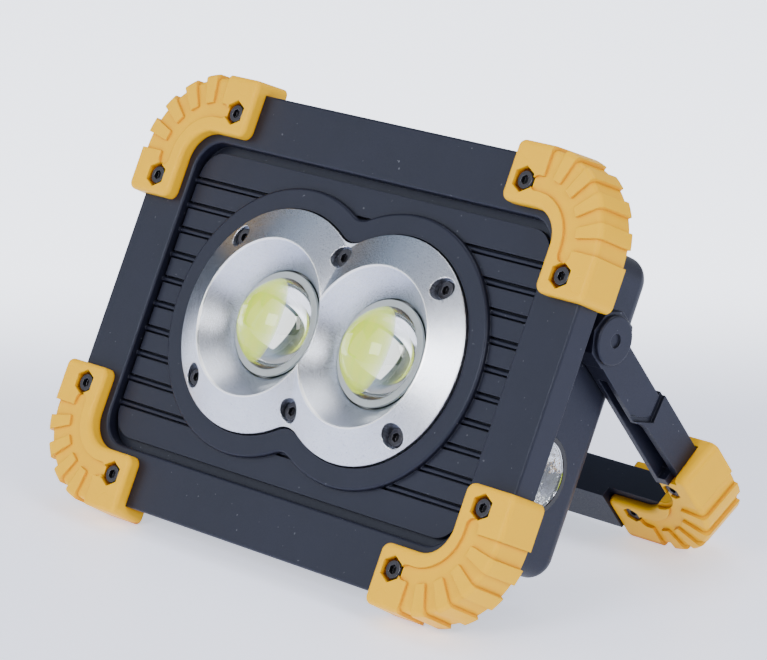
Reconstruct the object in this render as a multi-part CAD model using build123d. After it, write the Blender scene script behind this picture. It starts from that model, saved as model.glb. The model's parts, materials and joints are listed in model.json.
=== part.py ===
from build123d import *
import os
from math import atan2, cos, degrees, radians, sin, sqrt

# Folding rechargeable work light: a wide frame with two lensed lamps, four corner
# bumpers, a battery box behind, a side torch and a U-shaped stand on two pivots.
#
# Everything is drawn in the lamp's own frame, in millimetres: x to the right, y up the
# lamp, z out of its front, with z = 0 on the rim's face. The assembly at the end leans the
# lamp back onto its stand, with the middle of its footprint at the origin and +Z up.

# ---- driving dimensions -------------------------------------------------------------
FRAME_W, FRAME_H = 175.0, 126.0
FRAME_DEPTH = 8.0
FRAME_CORNER = 22.6
RECESS_W, RECESS_H = 142.0, 93.0
RECESS_CORNER = 9.0
RECESS_DEPTH = 4.2
SHELL_WALL = 2.2

RIB_PITCH = 7.65
RIB_GAP = 2.3
PAD_TOP = -2.3
PAD_SIDE_GAP, PAD_END_GAP = 2.6, 1.0
BEAD_RADIUS = 0.75

LOBE_X = 21.15
PLATE_R = 33.1
PLATE_NECK_R = 8.0
RING_INNER_R = 33.5
RING_OUTER_R = 39.7
RING_NECK_R = 6.0
RING_TOP = -0.7
PLATE_EDGE_Z = 0.2
CONE_RIM_R = 23.24
CONE_RIM_Z = 4.5
CONE_FOOT_R = 15.7
CONE_FOOT_Z = -4.6
PLATE_UNDER_Z = -4.4
PLATE_HOLES = [(-40.65, 21.16), (40.65, 21.16), (-40.65, -21.16), (40.65, -21.16), (0, 22.7), (0, -22.7)]
PLATE_HOLE_R = 3.4
PLATE_SEAT_Z = -2.0

LENS_FLANGE_R = 15.4
LENS_DOME_R = 13.6
LENS_DOME_H = 9.6
LENS_BASE_Z = -4.4
COB_TOP_Z = -5.6

BUMPER_CX, BUMPER_CY = 64.5, 39.5
BUMPER_R = 26.6
BUMPER_GAP_STEP = 1.1
BUMPER_INNER_R = 9.2
BUMPER_TOP = 4.2
BUMPER_LOW = 3.3
BUMPER_FLARE = 4.5
BUMPER_ARM_X = 51.7
BUMPER_ARM_Y = 26.6
BUMPER_END_R = 2.2
BAND_INNER_R, BAND_OUTER_R = 13.4, 17.8
BAND_STRAIGHT = 1.6
TOOTH_FIRST, TOOTH_PITCH, TOOTH_WIDTH, TOOTH_COUNT = 15.75, 19.5, 9.6, 4
BUMPER_SCREWS = [(57.8, 55.35), (81.1, 32.4)]
HEX_POCKET_R = 3.85
HEX_POCKET_FLOOR = 0.9
SCREW_R, SCREW_HEAD_R, SCREW_HEAD_H = 1.5, 2.75, 2.5
SCREW_HOLE_R = 1.6
SOCKET_R = 1.45

BOX_W, BOX_H = 160.0, 92.0
BOX_BACK = -34.0
BOX_EDGE = 4.0
BOX_CORNER = 7.0
FLANGE_W, FLANGE_H = 172.0, 123.0
FLANGE_T = 1.4
FLANGE_CORNER = 21.0
FLANGE_Z = -FRAME_DEPTH - FLANGE_T

HINGE_Y, HINGE_Z = 21.5, -18.0
STAND_OPEN = 63.5
ARM_IN_X, ARM_OUT_X = 80.6, 87.0
ARM_WALL = 1.7
ARM_END_S = 53.7
KNUCKLE_R = 8.3
PIN_R = 3.0
PIN_FIT = 0.05
CAP_R = 6.9
STAND_CS = 63.5
STAND_CX = 64.8
STAND_R = 26.4
STAND_FRONT, STAND_BACK = 6.5, -8.5
CROSS_TOP_S, CROSS_LOW_S = 70.0, 84.5
TONGUE_FRONT, TONGUE_BACK = 4.0, -5.0

BATTERY_R, BATTERY_L = 9.15, 65.0
BATTERY_Y, BATTERY_Z = 9.6, -23.2
COVER_W, COVER_H = 84.0, 50.0
COVER_CORNER = 5.0
COVER_SCREW_X = 36.8

BUTTON_X, BUTTON_Y, BUTTON_R, BUTTON_GAP = 0.0, 34.5, 6.0, 0.35
BUTTON_PROUD = 1.2

TORCH_Y, TORCH_Z, TORCH_R = -19.0, -14.6, 11.3

PORT_X0, PORT_X1, PORT_Y0, PORT_Y1 = -64.0, -52.0, -34.0, -8.0
FLAP_T = 1.3
FLAP_GAP = 0.3
PORT_FACE = BOX_BACK + FLAP_T + 0.15
BOARD_Z = -15.6


# ---- helpers ------------------------------------------------------------------------
def block(x0, x1, y0, y1, z0, z1):
    """A box between two corners."""
    size = Box(x1 - x0, y1 - y0, z1 - z0)
    return Pos((x0 + x1) / 2, (y0 + y1) / 2, (z0 + z1) / 2) * size


def slab(width, height, corner, z0, z1):
    """A rounded rectangle about the lamp's middle, from z0 to z1."""
    return Pos(0, 0, z0) * extrude(RectangleRounded(width, height, corner), amount=z1 - z0)


def post(x, y, radius, z0, z1):
    """A cylinder along z."""
    return Pos(x, y, (z0 + z1) / 2) * Cylinder(radius, z1 - z0)


def rod(y, z, radius, x0, x1):
    """A cylinder along x."""
    return Pos((x0 + x1) / 2, y, z) * Rot(0, 90, 0) * Cylinder(radius, x1 - x0)


def hexagon(x, y, radius, z0, z1):
    """A hexagonal prism along z, with one corner pointing up."""
    face = RegularPolygon(radius, 6, rotation=30)
    return Pos(x, y, z0) * extrude(face, amount=z1 - z0)


def two_lobes(radius, neck):
    """The outline of two overlapping circles with a smooth neck between them."""
    neck_y = sqrt((radius + neck) ** 2 - LOBE_X**2)
    lean = degrees(atan2(neck_y, LOBE_X))
    edges = CenterArc((LOBE_X, 0), radius, lean - 180, 360 - 2 * lean)
    edges += CenterArc((0, neck_y), neck, 180 + lean, 180 - 2 * lean)
    edges += CenterArc((-LOBE_X, 0), radius, lean, 360 - 2 * lean)
    edges += CenterArc((0, -neck_y), neck, lean, 180 - 2 * lean)
    return make_face(edges)


def prism(outline, z0, z1):
    """A flat outline made solid from z0 to z1."""
    return Pos(0, 0, z0) * extrude(outline, amount=z1 - z0, dir=(0, 0, 1))


def side_prism(points, x0, x1):
    """An outline given as (y, z) points, made solid from x0 to x1."""
    outline = Polyline(*[(x0, y, z) for y, z in points], close=True)
    return extrude(make_face(outline), amount=x1 - x0, dir=(1, 0, 0))


def to_corner(shape, left, low):
    """A shape from the top right corner moved to another corner."""
    if left != low:
        shape = mirror(shape, about=Plane.YZ)
    if low:
        shape = Rot(0, 0, 180) * shape
    return shape


def cap_screw(x, y, seat, tip):
    """A socket screw along z with its head standing on the seat."""
    head = post(x, y, SCREW_HEAD_R, seat, seat + SCREW_HEAD_H)
    head = chamfer(head.edges().sort_by(Axis.Z)[-1], 0.35)
    shank = post(x, y, SCREW_R, tip, seat)
    socket = hexagon(x, y, SOCKET_R, seat + SCREW_HEAD_H - 1.5, seat + SCREW_HEAD_H + 1)
    return head + shank - socket


# ---- front shell --------------------------------------------------------------------
def rib_rows():
    """The y of each groove between two raised strips of the recess."""
    count = int((RECESS_H / 2 - 2) / RIB_PITCH)
    return [RIB_PITCH * (i + 0.5) for i in range(-count, count)]


def front_shell():
    shell = slab(FRAME_W, FRAME_H, FRAME_CORNER, -FRAME_DEPTH, 0)
    shell = fillet(shell.edges().group_by(Axis.Z)[-1], 0.7)
    shell -= slab(RECESS_W, RECESS_H, RECESS_CORNER, -RECESS_DEPTH, 1)
    rim = shell.edges().group_by(Axis.Z)[-1]
    shell = fillet([e for e in rim if abs(e.center().X) < 71.5 and abs(e.center().Y) < 47], 0.8)
    pads = slab(
        RECESS_W - 2 * PAD_END_GAP,
        RECESS_H - 2 * PAD_SIDE_GAP,
        RECESS_CORNER - PAD_END_GAP,
        -RECESS_DEPTH,
        PAD_TOP,
    )
    rows = rib_rows()
    for y in rows:
        pads -= block(-80, 80, y - RIB_GAP / 2, y + RIB_GAP / 2, -RECESS_DEPTH, 1)
    shell += pads
    for y in rows:
        half = RECESS_W / 2
        if abs(y) > RECESS_H / 2 - RECESS_CORNER:
            drop = abs(y) - (RECESS_H / 2 - RECESS_CORNER)
            half -= RECESS_CORNER - sqrt(RECESS_CORNER**2 - drop**2)
        shell += rod(y, PAD_TOP - BEAD_RADIUS - 0.15, BEAD_RADIUS, -half, half)
        shell += block(-half, half, y - BEAD_RADIUS, y + BEAD_RADIUS, -RECESS_DEPTH - 0.1, PAD_TOP - 0.9)
    ring = prism(two_lobes(RING_OUTER_R, RING_NECK_R), -RECESS_DEPTH - 0.1, RING_TOP)
    ring = fillet(ring.edges().group_by(Axis.Z)[-1], 0.9)
    shell += ring
    shell -= prism(two_lobes(RING_INNER_R, PLATE_NECK_R), PLATE_UNDER_Z - 2.2, 1)
    # Hollow behind: under the rim, and shallower behind the recess.
    pocket_corner = FRAME_CORNER - SHELL_WALL
    pocket = slab(
        FRAME_W - 2 * SHELL_WALL, FRAME_H - 2 * SHELL_WALL, pocket_corner, -FRAME_DEPTH - 1, -SHELL_WALL
    )
    floor = slab(RECESS_W + 2 * SHELL_WALL, RECESS_H + 2 * SHELL_WALL, RECESS_CORNER, -6.4, 0)
    shell -= pocket - floor
    for x, y in shell_screw_places():
        shell += post(x, y, 3.4, -FRAME_DEPTH, -SHELL_WALL + 0.1)
        shell -= post(x, y, SCREW_HOLE_R, -FRAME_DEPTH - 1, -SHELL_WALL - 1.2)
    for x, y in bumper_screw_places():
        shell += post(x, y, 3.4, -FRAME_DEPTH, -SHELL_WALL + 0.1)
        shell -= post(x, y, SCREW_HOLE_R, -FRAME_DEPTH - 1, 1)
    for x, y in PLATE_HOLES:
        shell -= post(x, y, SCREW_HOLE_R, -FRAME_DEPTH - 1, 1)
    return shell


def shell_screw_places():
    return [(x, y) for x in (-38, 38) for y in (-55, 55)]


def bumper_screw_places():
    return [(i * x, j * y) for x, y in BUMPER_SCREWS for i in (-1, 1) for j in (-1, 1)]


# ---- lamps --------------------------------------------------------------------------
def plate_cone():
    """The raised annulus of one lamp, from the plate's edge up to the cone's rim."""
    profile = Polyline(
        (0, PLATE_UNDER_Z),
        (PLATE_R + 0.001, PLATE_UNDER_Z),
        (PLATE_R + 0.001, PLATE_EDGE_Z),
        (CONE_RIM_R, CONE_RIM_Z),
        (0, CONE_RIM_Z),
        close=True,
    )
    face = Plane.XZ * make_face(profile)
    return revolve(face, axis=Axis.Z)


def cone_hollow():
    """The space inside one reflector cone, with its through hole for the lens."""
    profile = Polyline(
        (0, CONE_FOOT_Z - 3),
        (CONE_FOOT_R, CONE_FOOT_Z - 3),
        (CONE_FOOT_R, CONE_FOOT_Z),
        (CONE_RIM_R, CONE_RIM_Z),
        (CONE_RIM_R, CONE_RIM_Z + 1),
        (0, CONE_RIM_Z + 1),
        close=True,
    )
    face = Plane.XZ * make_face(profile)
    return revolve(face, axis=Axis.Z)


def reflector_plate():
    cone = plate_cone()
    raised = Pos(-LOBE_X, 0, 0) * cone + Pos(LOBE_X, 0, 0) * cone
    outline = two_lobes(PLATE_R, PLATE_NECK_R)
    plate = raised + prism(outline, PLATE_UNDER_Z, PLATE_EDGE_Z)
    for side in (-1, 1):
        plate -= Pos(side * LOBE_X, 0, 0) * cone_hollow()
    for x, y in PLATE_HOLES:
        plate -= post(x, y, PLATE_HOLE_R, PLATE_SEAT_Z, 9)
        plate -= post(x, y, SCREW_HOLE_R, PLATE_UNDER_Z - 1, 0)
    return plate


def plate_screws():
    screws = [cap_screw(x, y, PLATE_SEAT_Z, -10.4) for x, y in PLATE_HOLES]
    return Compound(children=screws)


def lens(side):
    """A domed glass with a thin flange that sits in the foot of the cone."""
    sphere_r = (LENS_DOME_R**2 + LENS_DOME_H**2) / (2 * LENS_DOME_H)
    top = LENS_BASE_Z + 1.0 + LENS_DOME_H
    dome = Pos(0, 0, top - sphere_r) * Sphere(sphere_r)
    dome &= post(0, 0, LENS_DOME_R, LENS_BASE_Z, top + 1)
    flange = post(0, 0, LENS_FLANGE_R, LENS_BASE_Z, LENS_BASE_Z + 1.0)
    return Pos(side * LOBE_X, 0, 0) * (dome + flange)


def cob_board(side):
    board = post(0, 0, 15.3, COB_TOP_Z - 1.4, COB_TOP_Z - 0.2)
    return Pos(side * LOBE_X, 0, 0) * board


def cob_phosphor(side):
    return Pos(side * LOBE_X, 0, 0) * post(0, 0, 11.5, COB_TOP_Z - 0.2, COB_TOP_Z + 0.5)


def heat_sink():
    top = COB_TOP_Z - 1.4
    plate = slab(116, 56, 6, top - 2.4, top)
    for x in range(-54, 55, 9):
        plate += block(x - 0.8, x + 0.8, -27, 27, top - 5.4, top - 2.3)
    for x, y in PLATE_HOLES:
        plate -= post(x, y, 2.2, top - 7, top + 1)
    return plate


# ---- corner bumpers -----------------------------------------------------------------
def corner_outline(cx, cy, radius):
    """The outside of a corner: two straight edges joined by a large arc."""
    return make_face(
        Polyline((cx, cy + radius), (0, cy + radius), (0, 0), (cx + radius, 0), (cx + radius, cy))
        + CenterArc((cx, cy), radius, 0, 90)
    )


def ell_outline(cx, cy, radius, end_x, end_y):
    """The L of a bumper: an outside corner with the inside corner cut away."""
    outside = corner_outline(cx, cy, radius)
    keep = Rectangle(400, 400, align=(Align.MIN, Align.MIN))
    outside &= Pos(end_x, 0) * keep
    outside &= Pos(0, end_y) * keep
    inner = Circle(BUMPER_INNER_R)
    inner += Rectangle(200, 2 * BUMPER_INNER_R, align=(Align.MAX, Align.CENTER))
    inner += Rectangle(2 * BUMPER_INNER_R, 200, align=(Align.CENTER, Align.MAX))
    inner += Rectangle(200, 200, align=(Align.MAX, Align.MAX))
    ell = outside - Pos(cx, cy) * inner
    tips = [v for v in ell.vertices() if v.X < end_x + 0.01 or v.Y < end_y + 0.01]
    return fillet(tips, radius=2.6)


def sunken_outline(cx, cy):
    """The lower band round the corner and the gaps that run out between the teeth."""
    quarter = Rectangle(100, 100, align=(Align.MIN, Align.MIN))
    band = (Circle(BAND_OUTER_R) - Circle(BAND_INNER_R)) & quarter
    width = BAND_OUTER_R - BAND_INNER_R
    middle = (BAND_OUTER_R + BAND_INNER_R) / 2
    for turn in (0, 1):
        end = Pos(0, middle) * Rectangle(2 * BAND_STRAIGHT, width)
        end += Pos(-BAND_STRAIGHT, middle) * Circle(width / 2)
        if turn:
            end = mirror(end, about=Plane(origin=(0, 0, 0), z_dir=(1, -1, 0)))
        band += end
    half = TOOTH_WIDTH / 2
    starts = [0] + [TOOTH_FIRST + i * TOOTH_PITCH + half for i in range(TOOTH_COUNT)]
    ends = [TOOTH_FIRST + i * TOOTH_PITCH - half for i in range(TOOTH_COUNT)] + [90]
    reach = 60
    for a, b in zip(starts, ends):
        low, high = radians(a), radians(b)
        inner = BAND_OUTER_R - 1.5
        gap = Polyline(
            (inner * cos(low), inner * sin(low)),
            (reach * cos(low), reach * sin(low)),
            (reach * cos(high), reach * sin(high)),
            (inner * cos(high), inner * sin(high)),
            close=True,
        )
        band += make_face(gap)
    return Pos(cx, cy) * band


def armoured_corner(cx, cy, radius, end_x, end_y, low, high):
    """A toothed corner block from low to high, its outside flaring towards low."""
    depth = high - low
    spread = depth * sin(radians(BUMPER_FLARE))
    raised = prism(ell_outline(cx, cy, radius + 5, end_x, end_y), low, high)
    outside = extrude(corner_outline(cx, cy, radius + spread), amount=depth, taper=BUMPER_FLARE)
    raised &= Pos(0, 0, low) * outside
    long_edges = [e for e in raised.edges() if e.length > 0.9 * depth]
    ends = [e for e in long_edges if abs(e.center().Y - end_y) < 0.05 and e.center().X > cx + radius - 1]
    ends += [e for e in long_edges if abs(e.center().X - end_x) < 0.05 and e.center().Y > cy + radius - 1]
    raised = fillet(ends, BUMPER_END_R)
    raised = fillet(raised.edges().group_by(Axis.Z)[-1], 1.5)
    step = BUMPER_TOP - BUMPER_LOW
    inside = extrude(
        corner_outline(cx, cy, radius + spread - BUMPER_GAP_STEP),
        amount=depth - step,
        taper=BUMPER_FLARE,
    )
    inside = Pos(0, 0, low - 0.001) * fillet(inside.edges().group_by(Axis.Z)[-1], 1.4)
    return raised - (prism(sunken_outline(cx, cy), low - 1, high + 1) - inside)


def bumper():
    """The top right bumper, cut out to sit over the frame's corner."""
    shape = armoured_corner(
        BUMPER_CX, BUMPER_CY, BUMPER_R, BUMPER_ARM_X, BUMPER_ARM_Y, -FRAME_DEPTH, BUMPER_TOP
    )
    shape -= slab(FRAME_W, FRAME_H, FRAME_CORNER, -FRAME_DEPTH - 1, 0)
    for x, y in BUMPER_SCREWS:
        shape -= hexagon(x, y, HEX_POCKET_R, HEX_POCKET_FLOOR, 9)
        shape -= post(x, y, SCREW_HOLE_R, -1, 3)
    return shape


def bumper_screws():
    screws = [cap_screw(x, y, HEX_POCKET_FLOOR, -7.5) for x, y in bumper_screw_places()]
    return Compound(children=screws)


# ---- battery box --------------------------------------------------------------------
def d_shape(radius, x0, x1):
    """A round torch part whose front is cut flat behind the frame's flange."""
    return rod(TORCH_Y, TORCH_Z, radius, x0, x1) - block(x0 - 1, x1 + 1, -60, 60, FLANGE_Z, 20)


def back_plate():
    """The flat plate that closes the frame's back around the battery box."""
    plate = slab(FLANGE_W, FLANGE_H, FLANGE_CORNER, FLANGE_Z, -FRAME_DEPTH)
    plate -= slab(BOX_W - 2 * SHELL_WALL, BOX_H - 2 * SHELL_WALL, 5, FLANGE_Z - 1, 1)
    for x, y in shell_screw_places():
        plate -= Pos(x, y, -FRAME_DEPTH - FLANGE_T / 2) * Cone(2.8, 1.6, FLANGE_T)
    return plate


def rear_shell():
    shell = slab(BOX_W, BOX_H, BOX_CORNER, BOX_BACK, FLANGE_Z)
    shell = fillet(shell.edges().group_by(Axis.Z)[0], BOX_EDGE)
    inside = slab(BOX_W - 2 * SHELL_WALL, BOX_H - 2 * SHELL_WALL, 5, BOX_BACK + SHELL_WALL, 1)
    shell -= fillet(inside.edges().group_by(Axis.Z)[0], 3)
    for side in (-1, 1):
        x0, x1 = sorted((side * (BOX_W / 2 - 8), side * (BOX_W / 2 - 1)))
        shell += rod(HINGE_Y, HINGE_Z, 6.0, x0, x1)
        shell -= rod(HINGE_Y, HINGE_Z, PIN_R, side * 80 - 20, side * 80 + 20)
    shell -= slab(COVER_W - 6, COVER_H - 6, 3, BOX_BACK - 1, BOX_BACK + 4)
    shell -= slab(COVER_W + 0.4, COVER_H + 0.4, COVER_CORNER, BOX_BACK - 1, BOX_BACK + 1.2)
    for x in (-COVER_SCREW_X, COVER_SCREW_X):
        shell += post(x, 0, 2.6, BOX_BACK + 1.2, BOX_BACK + 6)
        shell -= post(x, 0, SCREW_HOLE_R, BOX_BACK - 1, BOX_BACK + 7)
    shell -= post(BUTTON_X, BUTTON_Y, BUTTON_R + BUTTON_GAP, BOX_BACK - 1, BOX_BACK + 4)
    for x in indicator_places():
        shell -= post(x, BUTTON_Y, 1.25, BOX_BACK - 1, BOX_BACK + 4)
    shell -= d_shape(TORCH_R - 0.9, 70, 90)
    shell -= d_shape(TORCH_R + 0.02, BOX_W / 2 - 1.0, 90)
    shell -= block(
        PORT_X0 - FLAP_GAP, PORT_X1 + FLAP_GAP, PORT_Y0 - FLAP_GAP, PORT_Y1 + FLAP_GAP,
        BOX_BACK - 1, BOX_BACK + FLAP_T + 0.1,
    )
    shell -= block(-61.1, -54.9, -24.0, -10.0, BOX_BACK - 1, BOX_BACK + 4)
    shell -= block(-60.0, -56.0, -32.0, -25.5, BOX_BACK - 1, BOX_BACK + 4)
    return shell


def shell_gasket():
    """A flat seal between the frame and the battery box, just inside the box's wall."""
    outer = RectangleRounded(BOX_W - 2 * SHELL_WALL - 0.6, BOX_H - 2 * SHELL_WALL - 0.6, 4)
    inner = RectangleRounded(BOX_W - 2 * SHELL_WALL - 4.6, BOX_H - 2 * SHELL_WALL - 4.6, 3)
    return prism(outer - inner, -FRAME_DEPTH - 1.2, -FRAME_DEPTH + 0.9) & block(
        -90, 90, -60, 60, -FRAME_DEPTH - 1.2, -FRAME_DEPTH + 0.9
    )


def shell_screws():
    screws = []
    for x, y in shell_screw_places():
        head = Pos(x, y, -FRAME_DEPTH - FLANGE_T / 2) * Cone(2.75, 1.55, FLANGE_T)
        head += post(x, y, SCREW_R, -FRAME_DEPTH - 0.2, -3.6)
        head -= hexagon(x, y, 1.1, -FRAME_DEPTH - FLANGE_T - 1, -FRAME_DEPTH - FLANGE_T + 0.9)
        screws.append(head)
    return Compound(children=screws)


def battery_cover():
    cover = slab(COVER_W, COVER_H, COVER_CORNER, BOX_BACK - 0.6, BOX_BACK + 1.2)
    cover = fillet(cover.edges().group_by(Axis.Z)[0], 0.8)
    for y in range(-16, 17, 4):
        if abs(y) > 5:
            cover -= block(-30, 30, y - 0.6, y + 0.6, BOX_BACK - 1, BOX_BACK)
    for x in (-COVER_SCREW_X, COVER_SCREW_X):
        cover -= post(x, 0, SCREW_HOLE_R, BOX_BACK - 2, BOX_BACK + 3)
        cover -= post(x, 0, 3.0, BOX_BACK - 2, BOX_BACK + 0.2)
    return cover


def battery_cover_screws():
    screws = []
    for x in (-COVER_SCREW_X, COVER_SCREW_X):
        screw = cap_screw(0, 0, 0, -5)
        screw = screw & block(-9, 9, -9, 9, -9, 1.9)
        screw += post(0, 0, 1.2, 0, 0.5)
        screws.append(Pos(x, 0, BOX_BACK + 0.2) * Rot(0, 180, 0) * screw)
    return Compound(children=screws)


def battery_cell(y):
    cell = rod(y, BATTERY_Z, BATTERY_R, -BATTERY_L / 2, BATTERY_L / 2 - 1.5)
    cell = fillet(cell.edges(), 0.8)
    return cell + rod(y, BATTERY_Z, 3.2, BATTERY_L / 2 - 1.6, BATTERY_L / 2)


def battery_contacts():
    """Spring plates at both ends of the two cells."""
    plates = []
    for x in (-1, 1):
        start = x * (BATTERY_L / 2 + 0.05)
        end = start + x * 0.6
        x0, x1 = sorted((start, end))
        plates.append(block(x0, x1, -17, 17, BATTERY_Z - 6, BATTERY_Z + 6))
    return Compound(children=plates)


def driver_board():
    """The charging board, with a raised foot under each socket and three parts on it."""
    board = block(-74, -40, -38, 10, BOARD_Z, BOARD_Z + 1.6)
    board += block(-61.2, -54.8, -24.2, -9.8, PORT_FACE + 14.1, BOARD_Z + 0.1)
    board += block(-60.5, -55.5, -32.2, -25.3, PORT_FACE + 6.1, BOARD_Z + 0.1)
    board += block(-60, -52, -4, 6, BOARD_Z - 3.6, BOARD_Z + 0.1)
    board += post(-47, 2, 4, BOARD_Z - 8.4, BOARD_Z + 0.1)
    board += post(-47, -10, 3, BOARD_Z - 6.4, BOARD_Z + 0.1)
    return board


def usb_port():
    """A full size socket: a folded metal shell with the contact tongue inside."""
    shell = block(-60.8, -55.2, -23.6, -10.4, PORT_FACE, PORT_FACE + 14)
    shell -= block(-60.4, -55.6, -23.2, -10.8, PORT_FACE - 1, PORT_FACE + 13)
    return shell + block(-57.6, -55.5, -22.8, -11.2, PORT_FACE + 1, PORT_FACE + 13.2)


def charge_port():
    shell = block(-59.7, -56.3, -31.6, -25.9, PORT_FACE, PORT_FACE + 6)
    shell -= block(-59.3, -56.7, -31.2, -26.3, PORT_FACE - 1, PORT_FACE + 5)
    return shell + block(-58.3, -57.7, -30.4, -27.1, PORT_FACE + 0.8, PORT_FACE + 5.2)


def switch_body():
    base = block(BUTTON_X - 6, BUTTON_X + 6, BUTTON_Y - 6, BUTTON_Y + 6, -28.2, -23.0)
    return base + post(BUTTON_X, BUTTON_Y, 1.75, -29.4, -28.1)


def indicator_places():
    return [BUTTON_X + 14 + 5 * i for i in range(4)]


def indicator_lights():
    lights = []
    for x in indicator_places():
        light = post(x, BUTTON_Y, 1.2, BOX_BACK - 0.1, BOX_BACK + 3)
        lights.append(light + post(x, BUTTON_Y, 1.9, BOX_BACK + SHELL_WALL + 0.05, BOX_BACK + 3))
    return Compound(children=lights)


def power_button():
    cap = post(BUTTON_X, BUTTON_Y, BUTTON_R, BOX_BACK - BUTTON_PROUD, BOX_BACK + 3)
    cap = fillet(cap.edges().sort_by(Axis.Z)[0], 0.9)
    cap += post(BUTTON_X, BUTTON_Y, BUTTON_R + 1.2, BOX_BACK + SHELL_WALL + 0.25, BOX_BACK + 3.2)
    ring = post(BUTTON_X, BUTTON_Y, 3.6, BOX_BACK - 2, BOX_BACK - BUTTON_PROUD + 0.35)
    ring -= post(BUTTON_X, BUTTON_Y, 2.6, BOX_BACK - 2, BOX_BACK)
    slot = block(-0.5, 0.5, BUTTON_Y + 1.4, BUTTON_Y + 4.6, BOX_BACK - 2, BOX_BACK - BUTTON_PROUD + 0.35)
    return cap - ring - slot


# ---- side torch ---------------------------------------------------------------------
def torch_bezel():
    return d_shape(TORCH_R, BOX_W / 2 - 0.95, BOX_W / 2 + 0.25) - d_shape_inner(
        TORCH_R - 1.3, BOX_W / 2 - 2, BOX_W / 2 + 2
    )


def d_shape_inner(radius, x0, x1):
    """The torch's D shape with its flat side moved in by the bezel's width."""
    return rod(TORCH_Y, TORCH_Z, radius, x0, x1) - block(x0 - 1, x1 + 1, -60, 60, FLANGE_Z - 0.6, 20)


def torch_lens():
    return d_shape_inner(TORCH_R - 1.35, BOX_W / 2 - 0.9, BOX_W / 2 + 0.1)


def torch_reflector():
    top = BOX_W / 2 - 1.05
    length = 9.5
    outer = Pos(top - length / 2, TORCH_Y, TORCH_Z) * Rot(0, 90, 0) * Cone(3.6, TORCH_R - 1.0, length)
    inner = Pos(top - length / 2, TORCH_Y, TORCH_Z) * Rot(0, 90, 0) * Cone(2.8, TORCH_R - 1.8, length + 0.01)
    flat_out = block(60, 90, -60, 60, FLANGE_Z - 0.05, 20)
    flat_in = block(60, 90, -60, 60, FLANGE_Z - 0.9, 20)
    return (outer - flat_out) - (inner - flat_in)


def torch_led():
    back = BOX_W / 2 - 1.05 - 9.5
    board = block(back - 1.3, back - 0.1, TORCH_Y - 6, TORCH_Y + 6, TORCH_Z - 6, TORCH_Z + 3)
    die = block(back - 0.2, back + 1.0, TORCH_Y - 1.6, TORCH_Y + 1.6, TORCH_Z - 1.6, TORCH_Z + 1.6)
    return board + die


# ---- stand --------------------------------------------------------------------------
def open_stand(shape):
    """Turns a part drawn with the stand folded to where the stand stands open."""
    hinge = Axis((0, HINGE_Y, HINGE_Z), (1, 0, 0))
    return shape.rotate(hinge, STAND_OPEN)


def stand_profile(points, x0, x1):
    """A side outline as (distance from the hinge, height off the axis) pairs."""
    return side_prism([(HINGE_Y - s, HINGE_Z + t) for s, t in points], x0, x1)


def stand_arm():
    """The right arm: a knuckle, then a channel that steps out half way along."""
    upper = stand_profile([(2, -3.8), (30, -3.8), (30, 7.3), (2, 7.3)], ARM_IN_X, ARM_OUT_X)
    lower = stand_profile(
        [(27.3, -5.2), (ARM_END_S, -5.2), (ARM_END_S, 7.3), (23, 7.3), (29.6, 3.2)],
        ARM_IN_X,
        ARM_OUT_X + 0.6,
    )
    vee = stand_profile(
        [(26.6, -6), (28.4, -6), (31.4, 2.6), (24.6, 8), (22.6, 8), (29.4, 2.4)],
        ARM_OUT_X - 0.5,
        ARM_OUT_X + 2,
    )
    arm = upper + lower - vee
    x0, x1 = ARM_IN_X + ARM_WALL, ARM_OUT_X - ARM_WALL
    end = ARM_END_S - 2.5
    arm -= stand_profile([(9.5, -1.9), (26, -1.9), (29, -3.2), (end, -3.2), (end, 9), (9.5, 9)], x0, x1)
    front_cut = [(31, 5.0), (55, 4.2), (55, 9), (24.5, 9), (27.6, 6.2)]
    arm -= stand_profile(front_cut, ARM_OUT_X - ARM_WALL - 0.1, ARM_OUT_X + 2)
    knuckle = Pos(ARM_IN_X, HINGE_Y, HINGE_Z) * Rot(0, 90, 0)
    knuckle *= extrude(RegularPolygon(KNUCKLE_R, 8, rotation=22.5), amount=ARM_OUT_X - ARM_IN_X)
    arm += knuckle
    arm += stand_profile(
        [(50, TONGUE_BACK), (CROSS_TOP_S, TONGUE_BACK), (CROSS_TOP_S, TONGUE_FRONT), (50, TONGUE_FRONT)],
        ARM_IN_X,
        ARM_OUT_X - 0.4,
    )
    arm -= rod(HINGE_Y, HINGE_Z, PIN_R + PIN_FIT, 70, 100)
    return arm


def stand_crossbar():
    low, high = HINGE_Y - CROSS_LOW_S, HINGE_Y - CROSS_TOP_S
    end = ARM_OUT_X - 0.4
    bar = block(-end, end, low, high, HINGE_Z + TONGUE_BACK, HINGE_Z + TONGUE_FRONT)
    corners = bar.edges().filter_by(Axis.Z).group_by(Axis.Y)[0]
    bar = fillet(corners, 10)
    bar += block(-52, 52, low, high, HINGE_Z + TONGUE_FRONT - 0.1, HINGE_Z + 7.3)
    bar -= block(-50, 50, low + 1.8, high - 1.8, HINGE_Z - 9, HINGE_Z + 5.3)
    for x in range(-40, 41, 10):
        bar += block(x - 0.8, x + 0.8, low + 1, high - 1, HINGE_Z + TONGUE_BACK, HINGE_Z + 5.5)
    return bar


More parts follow.
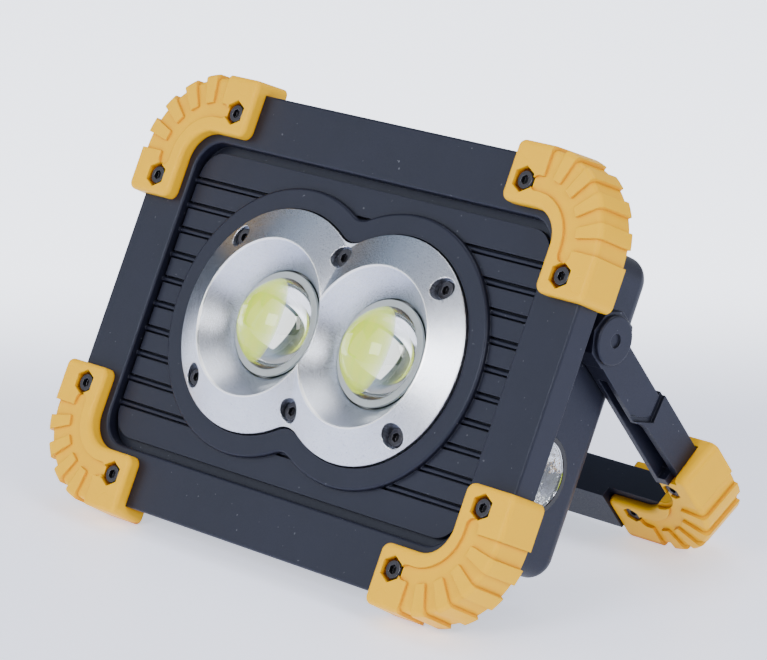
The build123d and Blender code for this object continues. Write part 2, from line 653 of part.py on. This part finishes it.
def stand_bumper():
    """The right corner of the stand, drawn like a top right corner and turned over."""
    corner = armoured_corner(STAND_CX, STAND_CS, STAND_R, 51.0, 51.5, STAND_BACK, STAND_FRONT)
    corner = Pos(0, HINGE_Y, HINGE_Z) * mirror(corner, about=Plane.XZ)
    # Room for the battery box when the stand is folded, and on its way there.
    box = slab(2 * ARM_IN_X, BOX_H + 0.8, BOX_CORNER + 0.6, BOX_BACK - 0.6, 0)
    corner -= slab(2 * ARM_IN_X, BOX_H + 0.8, BOX_CORNER + 0.6, BOX_BACK - 20, 0)
    for turn in range(6, 49, 6):
        corner -= box.rotate(Axis((0, HINGE_Y, HINGE_Z), (1, 0, 0)), -turn)
    reach = CROSS_TOP_S + 1
    slot = [(40, TONGUE_BACK), (reach, TONGUE_BACK), (reach, TONGUE_FRONT), (40, TONGUE_FRONT)]
    corner -= stand_profile(slot, ARM_IN_X - 1, ARM_OUT_X - 0.4)
    low, high = HINGE_Y - CROSS_LOW_S, HINGE_Y - CROSS_TOP_S
    end = ARM_OUT_X - 0.4
    tongue = block(0, end, low, high, HINGE_Z + TONGUE_BACK, HINGE_Z + TONGUE_FRONT)
    tongue = fillet(tongue.edges().filter_by(Axis.Z).group_by(Axis.Y)[0].sort_by(Axis.X)[-1:], 10)
    corner -= tongue
    corner -= block(40, 52.02, low, high, HINGE_Z, HINGE_Z + 9)
    arm_end = [(40, -6), (ARM_END_S, -6), (ARM_END_S, 9), (40, 9)]
    corner -= stand_profile(arm_end, ARM_IN_X - 1, ARM_OUT_X + 0.62)
    for x, y in stand_screw_places():
        corner -= hexagon(x, y, 3.0, HINGE_Z + STAND_FRONT - 2.2, HINGE_Z + 20)
        corner -= post(x, y, SCREW_HOLE_R - 0.35, HINGE_Z + TONGUE_FRONT - 0.5, HINGE_Z + 9)
    return corner


def stand_screw_places():
    return [(83.4, HINGE_Y - 58.2), (59.0, HINGE_Y - 77.2)]


def stand_bumper_screws():
    screws = []
    for x, y in stand_screw_places():
        for side in (-1, 1):
            seat = HINGE_Z + STAND_FRONT - 2.2
            head = post(side * x, y, 2.3, seat, seat + 1.6)
            head -= hexagon(side * x, y, 1.2, seat + 0.6, seat + 3)
            screws.append(head)
    return Compound(children=screws)


def hinge_cap():
    cap = rod(HINGE_Y, HINGE_Z, CAP_R, ARM_OUT_X, ARM_OUT_X + 1.2)
    cap = fillet(cap.edges().sort_by(Axis.X)[-1], 0.5)
    return cap - rod(HINGE_Y, HINGE_Z, 2.0, ARM_OUT_X + 0.6, ARM_OUT_X + 3)


def pivot_pin():
    head = rod(HINGE_Y, HINGE_Z, 4.5, BOX_W / 2 - 10.0, BOX_W / 2 - 8.0)
    return head + rod(HINGE_Y, HINGE_Z, PIN_R, BOX_W / 2 - 8.1, ARM_OUT_X - 0.3)


def friction_washer():
    ring = rod(HINGE_Y, HINGE_Z, 5.6, BOX_W / 2, ARM_IN_X - 0.05)
    return ring - rod(HINGE_Y, HINGE_Z, PIN_R + PIN_FIT, 70, 90)


# ---- ports cover --------------------------------------------------------------------
def usb_flap():
    """A soft cover that lies flush in the back wall and swings out on its left edge."""
    edge = PORT_X0 + FLAP_T / 2
    length = PORT_Y1 - PORT_Y0
    plate = block(edge, PORT_X1, PORT_Y0, PORT_Y1, BOX_BACK, BOX_BACK + FLAP_T)
    roll = Rot(90, 0, 0) * Cylinder(FLAP_T / 2, length)
    plate += Pos(edge, PORT_Y0 + length / 2, BOX_BACK + FLAP_T / 2) * roll
    return plate - block(PORT_X1 - 2.2, PORT_X1 - 1.2, -27, -15, BOX_BACK - 1, BOX_BACK + 0.5)


# ---- assembly -----------------------------------------------------------------------
def leaned_back(shape, lean):
    """Turns a shape from the lamp's frame to +Z up, with the lamp leaning back."""
    return Rot(90 - lean, 0, 0) * shape


def resting_lean(front_foot, rear_foot):
    """The lean at which the lamp's bumper and the stand's corner touch one floor."""
    low, high = 15.0, 40.0
    for _ in range(14):
        lean = (low + high) / 2
        front_z = leaned_back(front_foot, lean).bounding_box().min.Z
        rear_z = leaned_back(rear_foot, lean).bounding_box().min.Z
        if rear_z < front_z:
            high = lean
        else:
            low = lean
    return (low + high) / 2


def mirror_x(shape):
    return mirror(shape, about=Plane.YZ)


nodes = {
    "front_shell": front_shell(),
    "back_plate": back_plate(),
    "rear_shell": rear_shell(),
    "shell_gasket": shell_gasket(),
    "shell_screws": shell_screws(),
    "reflector_plate": reflector_plate(),
    "plate_screws": plate_screws(),
    "heat_sink": heat_sink(),
    "bumper_screws": bumper_screws(),
    "battery_cover": battery_cover(),
    "battery_cover_screws": battery_cover_screws(),
    "battery_cell_upper": battery_cell(BATTERY_Y),
    "battery_cell_lower": battery_cell(-BATTERY_Y),
    "battery_contacts": battery_contacts(),
    "driver_board": driver_board(),
    "usb_port": usb_port(),
    "charge_port": charge_port(),
    "switch_body": switch_body(),
    "indicator_lights": indicator_lights(),
    "power_button": power_button(),
    "usb_flap": usb_flap(),
    "torch_bezel": torch_bezel(),
    "torch_lens": torch_lens(),
    "torch_reflector": torch_reflector(),
    "torch_led": torch_led(),
    "stand_crossbar": open_stand(stand_crossbar()),
    "stand_bumper_screws": open_stand(stand_bumper_screws()),
}
for name, side in (("left", -1), ("right", 1)):
    nodes["lens_" + name] = lens(side)
    nodes["cob_board_" + name] = cob_board(side)
    nodes["cob_phosphor_" + name] = cob_phosphor(side)

right_bumper = bumper()
for name, left, low in (
    ("top_left", True, False),
    ("top_right", False, False),
    ("bottom_left", True, True),
    ("bottom_right", False, True),
):
    nodes["bumper_" + name] = to_corner(right_bumper, left, low)

pairs = {
    "stand_arm": open_stand(stand_arm()),
    "stand_bumper": open_stand(stand_bumper()),
    "hinge_cap": open_stand(hinge_cap()),
    "pivot_pin": pivot_pin(),
    "friction_washer": friction_washer(),
}
for name, shape in pairs.items():
    nodes[name + "_right"] = shape
    nodes[name + "_left"] = mirror_x(shape)

lean = resting_lean(nodes["bumper_bottom_right"], nodes["stand_bumper_right"])
leaned = {name: leaned_back(shape, lean) for name, shape in nodes.items()}
boxes = {name: shape.bounding_box() for name, shape in leaned.items()}
floor = min(box.min.Z for box in boxes.values())
front = min(box.min.Y for box in boxes.values())
back = max(box.max.Y for box in boxes.values())
to_origin = Pos(0, -(front + back) / 2, -floor)
print("lean", round(lean, 4), "floor", round(floor, 4), "middle", round((front + back) / 2, 4))
for name in ("bumper_bottom_right", "stand_bumper_right"):
    print(name, "rests", round(boxes[name].min.Z - floor, 3), "above the floor")

os.makedirs("parts", exist_ok=True)
for name, shape in leaned.items():
    export_step(to_origin * shape, "parts/" + name + ".step")
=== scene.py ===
"""Looks for the folding work light: materials, small moulded details, lights and camera."""

import json
import math

import bpy
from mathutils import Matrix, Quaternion, Vector

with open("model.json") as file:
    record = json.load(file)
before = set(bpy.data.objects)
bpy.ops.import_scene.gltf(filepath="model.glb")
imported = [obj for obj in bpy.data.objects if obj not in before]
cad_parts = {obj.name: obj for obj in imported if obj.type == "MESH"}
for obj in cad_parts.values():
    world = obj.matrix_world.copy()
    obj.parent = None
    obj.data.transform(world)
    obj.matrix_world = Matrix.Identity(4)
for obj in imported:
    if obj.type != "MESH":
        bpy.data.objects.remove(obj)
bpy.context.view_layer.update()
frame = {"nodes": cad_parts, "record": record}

MM = 0.001

# ---- the lamp's own axes: x right, y up the lamp, z out of its front ------------------
# The rest face that the corner bumpers share is a mount, and gives the lean and the height.
REST_FACE = next(mount for mount in frame["record"]["mounts"] if mount["name"] == "front_rest")
RIGHT = Vector((1, 0, 0))
OUT = Vector(REST_FACE["axis"]).normalized()
UP = OUT.cross(RIGHT)

# Measures along those axes, in millimetres.
REST_FACE_AT = (84.0, 38.0, 4.2)
BUMPER_FACE_Z = REST_FACE_AT[2]
LOBE_X = 21.15
CONE_RIM_R = 23.24
LENS_FLANGE_Z = -3.4
LENS_DOME_R = 13.6
DIE_R = 11.5
# The round marks that the mould's ejector pins leave on each corner bumper's face, as they
# lie on the upper right one.
PIN_MARKS = [(57.0, 63.2), (88.2, 31.0)]
PIN_MARK_R = 2.2


def step(x, y, z):
    """A step along the lamp's axes in millimetres, as one in the frame's axes in metres."""
    return MM * (x * RIGHT + y * UP + z * OUT)


ORIGIN = Vector(REST_FACE["pos_m"]) - step(*REST_FACE_AT)

# ---- measures of the stage ------------------------------------------------------------
# The aim is a step along the lamp's axes, the angles are in degrees, and the rest is in
# metres, apart from the lens, which is in millimetres.
CAMERA_AIM = (22.9, 6.2, 0.0)
CAMERA_AZIMUTH, CAMERA_ELEVATION, CAMERA_ROLL = 45.42, 15.45, 0.385
CAMERA_DISTANCE, CAMERA_LENS = 1.0154, 172.8
CAMERA_CLIP = (0.05, 20)

FLOOR_SIDE = 8.0
# Where the floor starts and ends its fade, in metres towards the viewed side.
FLOOR_FADE = (-0.10, -0.30)

# The sides of the room that are darker, and bluer.
DARK_SIDE = Vector((0.84, -0.46, 0.20))
BLUE_SIDE = Vector((-1.0, 0.0, 0.10))
# Each soft box: its name, place, width and height in metres, and power in watts.
LIGHTS = [
    ("front_box", (0.10, -1.10, 0.70), (0.55, 0.55), 11.0),
    ("left_box", (-0.80, -0.72, 0.50), (0.7, 0.8), 3.0),
    ("right_box", (1.05, -0.20, 0.60), (0.4, 0.6), 8.0),
    ("top_box", (0.0, 0.35, 1.10), (1.0, 0.6), 5.0),
]
LIGHTS_AIM = Vector((0, 0, 0.05))


# ---- node helpers ---------------------------------------------------------------------
class Graph:
    """Short ways to add nodes to a material's or the world's tree."""

    def __init__(self, tree):
        self.tree = tree

    def feed(self, socket, value):
        """Gives a socket a constant, or another node's output."""
        if isinstance(value, bpy.types.NodeSocket):
            self.tree.links.new(value, socket)
        else:
            socket.default_value = value

    def node(self, kind, inputs=(), **settings):
        new = self.tree.nodes.new("ShaderNode" + kind)
        for key, value in settings.items():
            setattr(new, key, value)
        for key, value in dict(inputs).items():
            self.feed(new.inputs[key], value)
        return new

    def math(self, operation, a, b=0.0):
        return self.node("Math", {0: a, 1: b}, operation=operation).outputs[0]

    def times(self, a, b):
        return self.math("MULTIPLY", a, b)

    def minus(self, a, b):
        return self.math("SUBTRACT", a, b)

    def dot(self, a, b):
        return self.node("VectorMath", {0: a, 1: b}, operation="DOT_PRODUCT").outputs["Value"]

    def ramp(self, value, low, high, to_low=0.0, to_high=1.0, smooth=True):
        """The value carried from low…high to to_low…to_high, and held beyond them."""
        kind = "SMOOTHSTEP" if smooth else "LINEAR"
        inputs = {"Value": value, "From Min": low, "From Max": high, "To Min": to_low, "To Max": to_high}
        return self.node("MapRange", inputs, interpolation_type=kind).outputs["Result"]

    def mix(self, factor, a, b):
        """Colour a where the factor is 0, and b where it is 1."""
        factor_socket, a_socket, b_socket, colour_output = 0, 6, 7, 2
        inputs = {factor_socket: factor, a_socket: a, b_socket: b}
        return self.node("Mix", inputs, data_type="RGBA").outputs[colour_output]


class Look(Graph):
    """A node material. Its shader's constants are given by name, with _ for a space."""

    def __init__(self, name, **constants):
        self.material = bpy.data.materials.new(name)
        self.material.use_nodes = True
        super().__init__(self.material.node_tree)
        self.shader = self.tree.nodes["Principled BSDF"]
        for socket, value in constants.items():
            self.shader.inputs[socket.replace("_", " ")].default_value = value

    def link(self, source, socket):
        self.tree.links.new(source, self.shader.inputs[socket])

    def place(self):
        return self.node("NewGeometry").outputs["Position"]

    def lamp(self, axis):
        """How far each point lies along one of the lamp's axes, in millimetres."""
        offset = self.node("VectorMath", {0: self.place(), 1: ORIGIN}, operation="SUBTRACT")
        return self.dot(offset.outputs["Vector"], axis / MM)

    def radius_from(self, x, y):
        """The distance in millimetres from a line along z, the same on all four quarters."""
        across = self.minus(self.math("ABSOLUTE", self.lamp(RIGHT)), x)
        along = self.minus(self.math("ABSOLUTE", self.lamp(UP)), y)
        return self.math("SQRT", self.math("ADD", self.times(across, across), self.times(along, along)))

    def ring(self, x, y, radius, outside, inside):
        """1 on a circle round a line along z, and 0 further than outside from it."""
        distance = self.math("ABSOLUTE", self.minus(self.radius_from(x, y), radius))
        return self.ramp(distance, outside, inside)

    def noise(self, size_mm, detail=2.0, roughness=0.5):
        """Noise whose features are about size_mm across."""
        place = self.node("TexCoord").outputs["Object"]
        inputs = {"Vector": place, "Scale": 1 / (size_mm * MM), "Detail": detail, "Roughness": roughness}
        return self.node("TexNoise", inputs).outputs["Fac"]

    def cover(self, colour, paint, where, strength):
        """The colour with another over it where the mask says, at some strength."""
        return self.mix(self.times(where, strength), colour, paint)

    def bump(self, height, depth_mm, strength, normal=None):
        inputs = {"Height": height, "Distance": depth_mm * MM, "Strength": strength}
        if normal is not None:
            inputs["Normal"] = normal
        return self.node("Bump", inputs).outputs["Normal"]

    def soft_edges(self, radius_mm):
        """The normal of edges rounded a little, and how far each point is on an edge."""
        rounded = self.node("Bevel", {"Radius": radius_mm * MM}, samples=4).outputs["Normal"]
        sharp = self.node("NewGeometry").outputs["True Normal"]
        cosine_on_flat, cosine_on_edge = 0.995, 0.86
        return rounded, self.ramp(self.dot(rounded, sharp), cosine_on_flat, cosine_on_edge)

    def crevice_shade(self, reach_mm, low=0.35, high=0.95):
        """0 in open places, 1 deep in a crevice, from ambient occlusion: the mask for painted shade in
        crevices.
        """
        ao = self.node("AmbientOcclusion", {"Distance": reach_mm * MM}, samples=6)
        return self.ramp(ao.outputs["AO"], low, high, 1.0, 0.0)


def rgb(*screen):
    """A colour given as sRGB values from 0 to 255, turned to linear."""
    return tuple(((v / 255 + 0.055) / 1.055) ** 2.4 if v > 10 else v / 3295 for v in screen) + (1.0,)


def shade(colour, gain, lift=0.0):
    """A darker or lighter version of a linear colour."""
    return tuple(min(1.0, gain * value + lift) for value in colour[:3]) + (1.0,)


# ---- materials ------------------------------------------------------------------------
CLEAR = (0.97, 0.99, 0.98, 1)
FROSTED = (0.60, 0.65, 0.66, 1)
GLASS_IOR = 1.5


def moulded_black():
    """Dark bluish ABS: spark-eroded texture, a little dust, edges a little glossier and painted lighter as
    a highlight, and painted shade in its crevices.
    """
    look = Look("moulded_black", Specular_IOR_Level=0.38, Specular_Tint=(0.76, 0.83, 1.0, 1))
    grain = look.noise(0.35, detail=3.0, roughness=0.6)
    patch = look.noise(14.0, detail=3.0, roughness=0.55)
    dust = look.ramp(look.noise(0.9, detail=0.0), 0.84, 0.88)
    rounded, edge = look.soft_edges(0.35)
    colour = look.mix(patch, rgb(14, 15, 27), rgb(21, 22, 37))
    # Edges painted lighter: a painted highlight.
    colour = look.cover(colour, rgb(84, 86, 100), edge, 0.30)
    # Crevices painted near black: painted shade, masked by ambient occlusion.
    colour = look.cover(colour, rgb(6, 6, 8), look.crevice_shade(2.0), 0.6)
    look.link(look.cover(colour, rgb(150, 152, 160), dust, 0.25), "Base Color")
    rough = look.ramp(grain, 0.3, 0.7, 0.36, 0.50)
    look.link(look.minus(rough, look.times(edge, 0.08)), "Roughness")
    look.link(look.bump(grain, 0.030, 0.55, rounded), "Normal")
    return look.material


def moulded_yellow():
    """Warm yellow thermoplastic rubber with ejector pin marks, painted a deeper orange in its creases as
    shade, and a brighter yellow on its edges as a highlight.
    """
    look = Look(
        "moulded_yellow",
        Specular_IOR_Level=0.12,
        Subsurface_Weight=0.04,
        Subsurface_Scale=0.001,
        Subsurface_Radius=(1.0, 0.35, 0.05),
    )
    grain = look.noise(0.5, detail=3.0, roughness=0.6)
    cloud = look.noise(9.0, detail=4.0, roughness=0.6)
    rounded, edge = look.soft_edges(0.45)
    colour = look.mix(cloud, rgb(236, 176, 0), rgb(243, 184, 0))
    # Edges painted a brighter yellow: a painted highlight.
    colour = look.cover(colour, rgb(252, 200, 10), edge, 0.30)
    # Creases painted deeper orange: painted shade, masked by ambient occlusion.
    look.link(look.cover(colour, rgb(186, 96, 0), look.crevice_shade(1.6, 0.3, 0.9), 0.8), "Base Color")
    look.link(look.ramp(cloud, 0.3, 0.7, 0.34, 0.44), "Roughness")
    on_face = look.ramp(look.lamp(OUT), BUMPER_FACE_Z - 0.6, BUMPER_FACE_Z - 0.3)
    height = grain
    for x, y in PIN_MARKS:
        mark = look.times(look.ring(x, y, PIN_MARK_R, 0.3, 0.0), on_face)
        height = look.minus(height, look.times(mark, 2.5))
    look.link(look.bump(height, 0.020, 0.5, rounded), "Normal")
    return look.material


def satin_silver():
    """Bead-blasted anodised aluminium: fine sparkle, and a painted highlight: a bright line round each
    cone and lighter edges.
    """
    look = Look("satin_silver", Metallic=1.0)
    grain = look.noise(0.22, roughness=0.7)
    patch = look.noise(6.0, detail=3.0)
    rounded, edge = look.soft_edges(0.5)
    # The white, glossier line round each cone's rim and the lighter edges are a painted highlight.
    rim = look.ring(LOBE_X, 0.0, CONE_RIM_R, 0.6, 0.1)
    painted_highlight = look.math("MAXIMUM", rim, look.times(edge, 0.6))
    colour = look.mix(patch, rgb(206, 211, 224), rgb(222, 226, 236))
    colour = look.mix(look.ramp(grain, 0.42, 0.30), colour, rgb(96, 100, 112))
    look.link(look.mix(painted_highlight, colour, rgb(255, 255, 255)), "Base Color")
    rough = look.ramp(grain, 0.25, 0.75, 0.22, 0.36)
    look.link(look.minus(rough, look.times(painted_highlight, 0.10)), "Roughness")
    look.link(look.bump(grain, 0.045, 0.8, rounded), "Normal")
    return look.material


def clear_glass():
    """Clear moulded glass with the faintest waviness."""
    look = Look("clear_glass", Base_Color=CLEAR, Transmission_Weight=1.0, IOR=GLASS_IOR, Roughness=0.0)
    look.link(look.bump(look.noise(12.0, detail=1.0), 0.02, 0.15), "Normal")
    return look.material


def lamp_glass():
    """Lens glass with a frosted seating flange round the clear dome."""
    look = Look("lamp_glass", IOR=GLASS_IOR)
    grain = look.noise(0.4, detail=3.0, roughness=0.6)
    on_flange = look.ramp(look.lamp(OUT), LENS_FLANGE_Z + 0.5, LENS_FLANGE_Z + 0.1)
    past_dome = look.ramp(look.radius_from(LOBE_X, 0.0), LENS_DOME_R - 1.0, LENS_DOME_R)
    frost = look.times(on_flange, past_dome)
    look.link(look.mix(frost, CLEAR, FROSTED), "Base Color")
    look.link(look.times(frost, look.ramp(grain, 0.3, 0.7, 0.35, 0.5)), "Roughness")
    look.link(look.ramp(frost, 0.0, 1.0, 1.0, 0.45, smooth=False), "Transmission Weight")
    look.link(look.bump(look.noise(12.0, detail=1.0), 0.02, 0.15), "Normal")
    return look.material


def lamp_board():
    """A chip board: dark teal round the phosphor, with gold pads along its edge."""
    look = Look("lamp_board", Roughness=0.3)
    grain = look.noise(0.5)
    by_die = look.ramp(look.radius_from(LOBE_X, 0.0), DIE_R + 1.2, DIE_R + 0.4)
    pads = look.times(by_die, look.ramp(grain, 0.4, 0.55))
    colour = look.mix(look.noise(3.0), rgb(8, 26, 34), rgb(20, 46, 56))
    look.link(look.mix(pads, colour, rgb(190, 140, 60)), "Base Color")
    look.link(look.times(pads, 0.9), "Metallic")
    look.link(look.bump(grain, 0.03, 0.5), "Normal")
    return look.material


def phosphor():
    """Yellow-green phosphor gel over rows of chips, with a faint painted glow in its own colour."""
    # The emission gives the phosphor a faint painted glow.
    look = Look("phosphor", Roughness=0.35, Emission_Strength=0.55)
    speck = look.noise(0.5, detail=3.0, roughness=0.6)
    rows = look.math("SINE", look.times(look.lamp(RIGHT), 3.0))
    colour = look.mix(speck, rgb(206, 226, 0), rgb(220, 236, 24))
    colour = look.mix(look.ramp(rows, 0.2, 0.9, 0.0, 0.15), colour, rgb(170, 196, 0))
    look.link(colour, "Base Color")
    look.link(colour, "Emission Color")
    look.link(look.bump(speck, 0.05, 0.4), "Normal")
    return look.material


def black_oxide():
    """Blackened steel screws, painted lighter on their edges as a highlight."""
    look = Look("black_oxide", Metallic=0.85)
    grain = look.noise(0.4, detail=3.0)
    rounded, edge = look.soft_edges(0.15)
    colour = look.mix(grain, rgb(44, 44, 48), rgb(62, 62, 68))
    # Edges painted lighter: a painted highlight.
    look.link(look.cover(colour, rgb(160, 160, 170), edge, 0.6), "Base Color")
    look.link(look.ramp(grain, 0.3, 0.7, 0.26, 0.42), "Roughness")
    look.link(look.bump(grain, 0.012, 0.4, rounded), "Normal")
    return look.material


def metal(name, colour, roughness, grain_mm=0.3, depth_mm=0.01):
    """A plain metal with a grain in its colour, gloss and surface."""
    look = Look(name, Metallic=1.0)
    grain = look.noise(grain_mm, detail=3.0, roughness=0.6)
    look.link(look.mix(look.noise(5.0), shade(colour, 0.82), colour), "Base Color")
    look.link(look.ramp(grain, 0.3, 0.7, *roughness), "Roughness")
    look.link(look.bump(grain, depth_mm, 0.4), "Normal")
    return look.material


def plastic(name, dark, light, roughness, depth_mm=0.02):
    """A plain moulded plastic or rubber with a fine texture."""
    look = Look(name)
    grain = look.noise(0.4, detail=3.0, roughness=0.6)
    rounded, edge = look.soft_edges(0.2)
    colour = look.mix(look.noise(8.0, detail=3.0), dark, light)
    # Edges painted lighter: a painted highlight.
    look.link(look.cover(colour, shade(light, 1.8, 0.02), edge, 0.3), "Base Color")
    look.link(look.ramp(grain, 0.3, 0.7, *roughness), "Roughness")
    look.link(look.bump(grain, depth_mm, 0.5, rounded), "Normal")
    return look.material


SLOT_MATERIALS = {
    "black_shell": moulded_black(),
    "yellow_bumper": moulded_yellow(),
    "satin_silver": satin_silver(),
    "raw_aluminium": metal("raw_aluminium", rgb(190, 192, 196), (0.35, 0.5)),
    "clear_lens": clear_glass(),
    "phosphor": phosphor(),
    "black_steel": black_oxide(),
    "spring_steel": metal("spring_steel", rgb(188, 188, 190), (0.22, 0.36)),
    "circuit_board": plastic("circuit_board", rgb(10, 70, 40), rgb(16, 92, 52), (0.25, 0.4)),
    "cell_wrap": plastic("cell_wrap", rgb(28, 70, 140), rgb(38, 88, 168), (0.2, 0.35)),
    "light_window": plastic("light_window", rgb(196, 214, 224), rgb(214, 230, 238), (0.2, 0.35)),
    "black_rubber": plastic("black_rubber", rgb(24, 24, 26), rgb(34, 34, 37), (0.55, 0.75)),
    "black_gloss": plastic("black_gloss", rgb(10, 10, 12), rgb(16, 16, 18), (0.12, 0.22), depth_mm=0.005),
    "chrome": metal("chrome", rgb(225, 227, 232), (0.03, 0.08), grain_mm=3.0, depth_mm=1.2),
}
LENS, BOARD = lamp_glass(), lamp_board()
NODE_MATERIALS = {"lens_left": LENS, "lens_right": LENS, "cob_board_left": BOARD, "cob_board_right": BOARD}


def dress_cad_nodes():
    """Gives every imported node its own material, or the one of its slot."""
    for entry in frame["record"]["subparts"]:
        materials = frame["nodes"][entry["node"]].data.materials
        materials.clear()
        materials.append(NODE_MATERIALS.get(entry["node"], SLOT_MATERIALS[entry["material_slot"]]))


# ---- stage, lights and camera ---------------------------------------------------------
def viewed_side(elevation):
    """The direction from the lamp to its viewed side, raised from level by an elevation."""
    around, above = math.radians(CAMERA_AZIMUTH), math.radians(elevation)
    level = math.cos(above)
    return Vector((math.sin(around) * level, -math.cos(around) * level, math.sin(above)))


def make_floor():
    """A pale lavender floor that brightens to near white behind the lamp, with a glow that is stronger
    there: painted light.
    """
    bpy.ops.mesh.primitive_plane_add(size=FLOOR_SIDE)
    floor = bpy.context.object
    floor.name = "floor"
    look = Look("floor", Roughness=0.45, Emission_Color=(0.84, 0.88, 1.0, 1))
    far = look.ramp(look.dot(look.place(), viewed_side(0)), *FLOOR_FADE)
    colour = look.mix(look.noise(400.0), rgb(222, 225, 248), rgb(228, 231, 252))
    look.link(look.mix(far, colour, rgb(250, 250, 252)), "Base Color")
    # The floor's glow, stronger behind the lamp, is painted light.
    look.link(look.ramp(far, 0.0, 1.0, 0.95, 2.6, smooth=False), "Emission Strength")
    floor.data.materials.append(look.material)


def make_world():
    """Soft light all round, dim on the dark side, and dim and blue on the left."""
    world = bpy.data.worlds.new("studio")
    bpy.context.scene.world = world
    world.use_nodes = True
    graph = Graph(world.node_tree)
    direction = graph.node("TexCoord").outputs["Generated"]

    def facing(side, low, high, to_low, to_high):
        return graph.ramp(graph.dot(direction, side.normalized()), low, high, to_low, to_high)

    on_dark_side = facing(DARK_SIDE, 0.35, 0.92, 0.62, 0.06)
    on_blue_side = facing(BLUE_SIDE, 0.66, 0.96, 1.0, 0.14)
    blueness = facing(BLUE_SIDE, 0.30, 0.97, 0.0, 1.0)
    background = graph.tree.nodes["Background"]
    graph.feed(background.inputs["Color"], graph.mix(blueness, (0.90, 0.93, 1.0, 1), (0.50, 0.72, 1.0, 1)))
    graph.feed(background.inputs["Strength"], graph.times(on_dark_side, on_blue_side))


def make_lights():
    for name, place, size, power in LIGHTS:
        data = bpy.data.lights.new(name, "AREA")
        data.shape = "RECTANGLE"
        data.size, data.size_y = size
        data.energy = power
        light = bpy.data.objects.new(name, data)
        light.location = place
        light.rotation_mode = "QUATERNION"
        light.rotation_quaternion = (LIGHTS_AIM - Vector(place)).to_track_quat("-Z", "Y")
        bpy.context.scene.collection.objects.link(light)


def make_camera():
    data = bpy.data.cameras.new("camera")
    data.lens = CAMERA_LENS
    data.clip_start, data.clip_end = CAMERA_CLIP
    camera = bpy.data.objects.new("camera", data)
    bpy.context.scene.collection.objects.link(camera)
    back = viewed_side(CAMERA_ELEVATION)
    camera.location = ORIGIN + step(*CAMERA_AIM) + CAMERA_DISTANCE * back
    camera.rotation_mode = "QUATERNION"
    roll = Quaternion((0, 0, 1), math.radians(CAMERA_ROLL))
    camera.rotation_quaternion = (-back).to_track_quat("-Z", "Y") @ roll
    bpy.context.scene.camera = camera


dress_cad_nodes()
make_floor()
make_world()
make_lights()
make_camera()
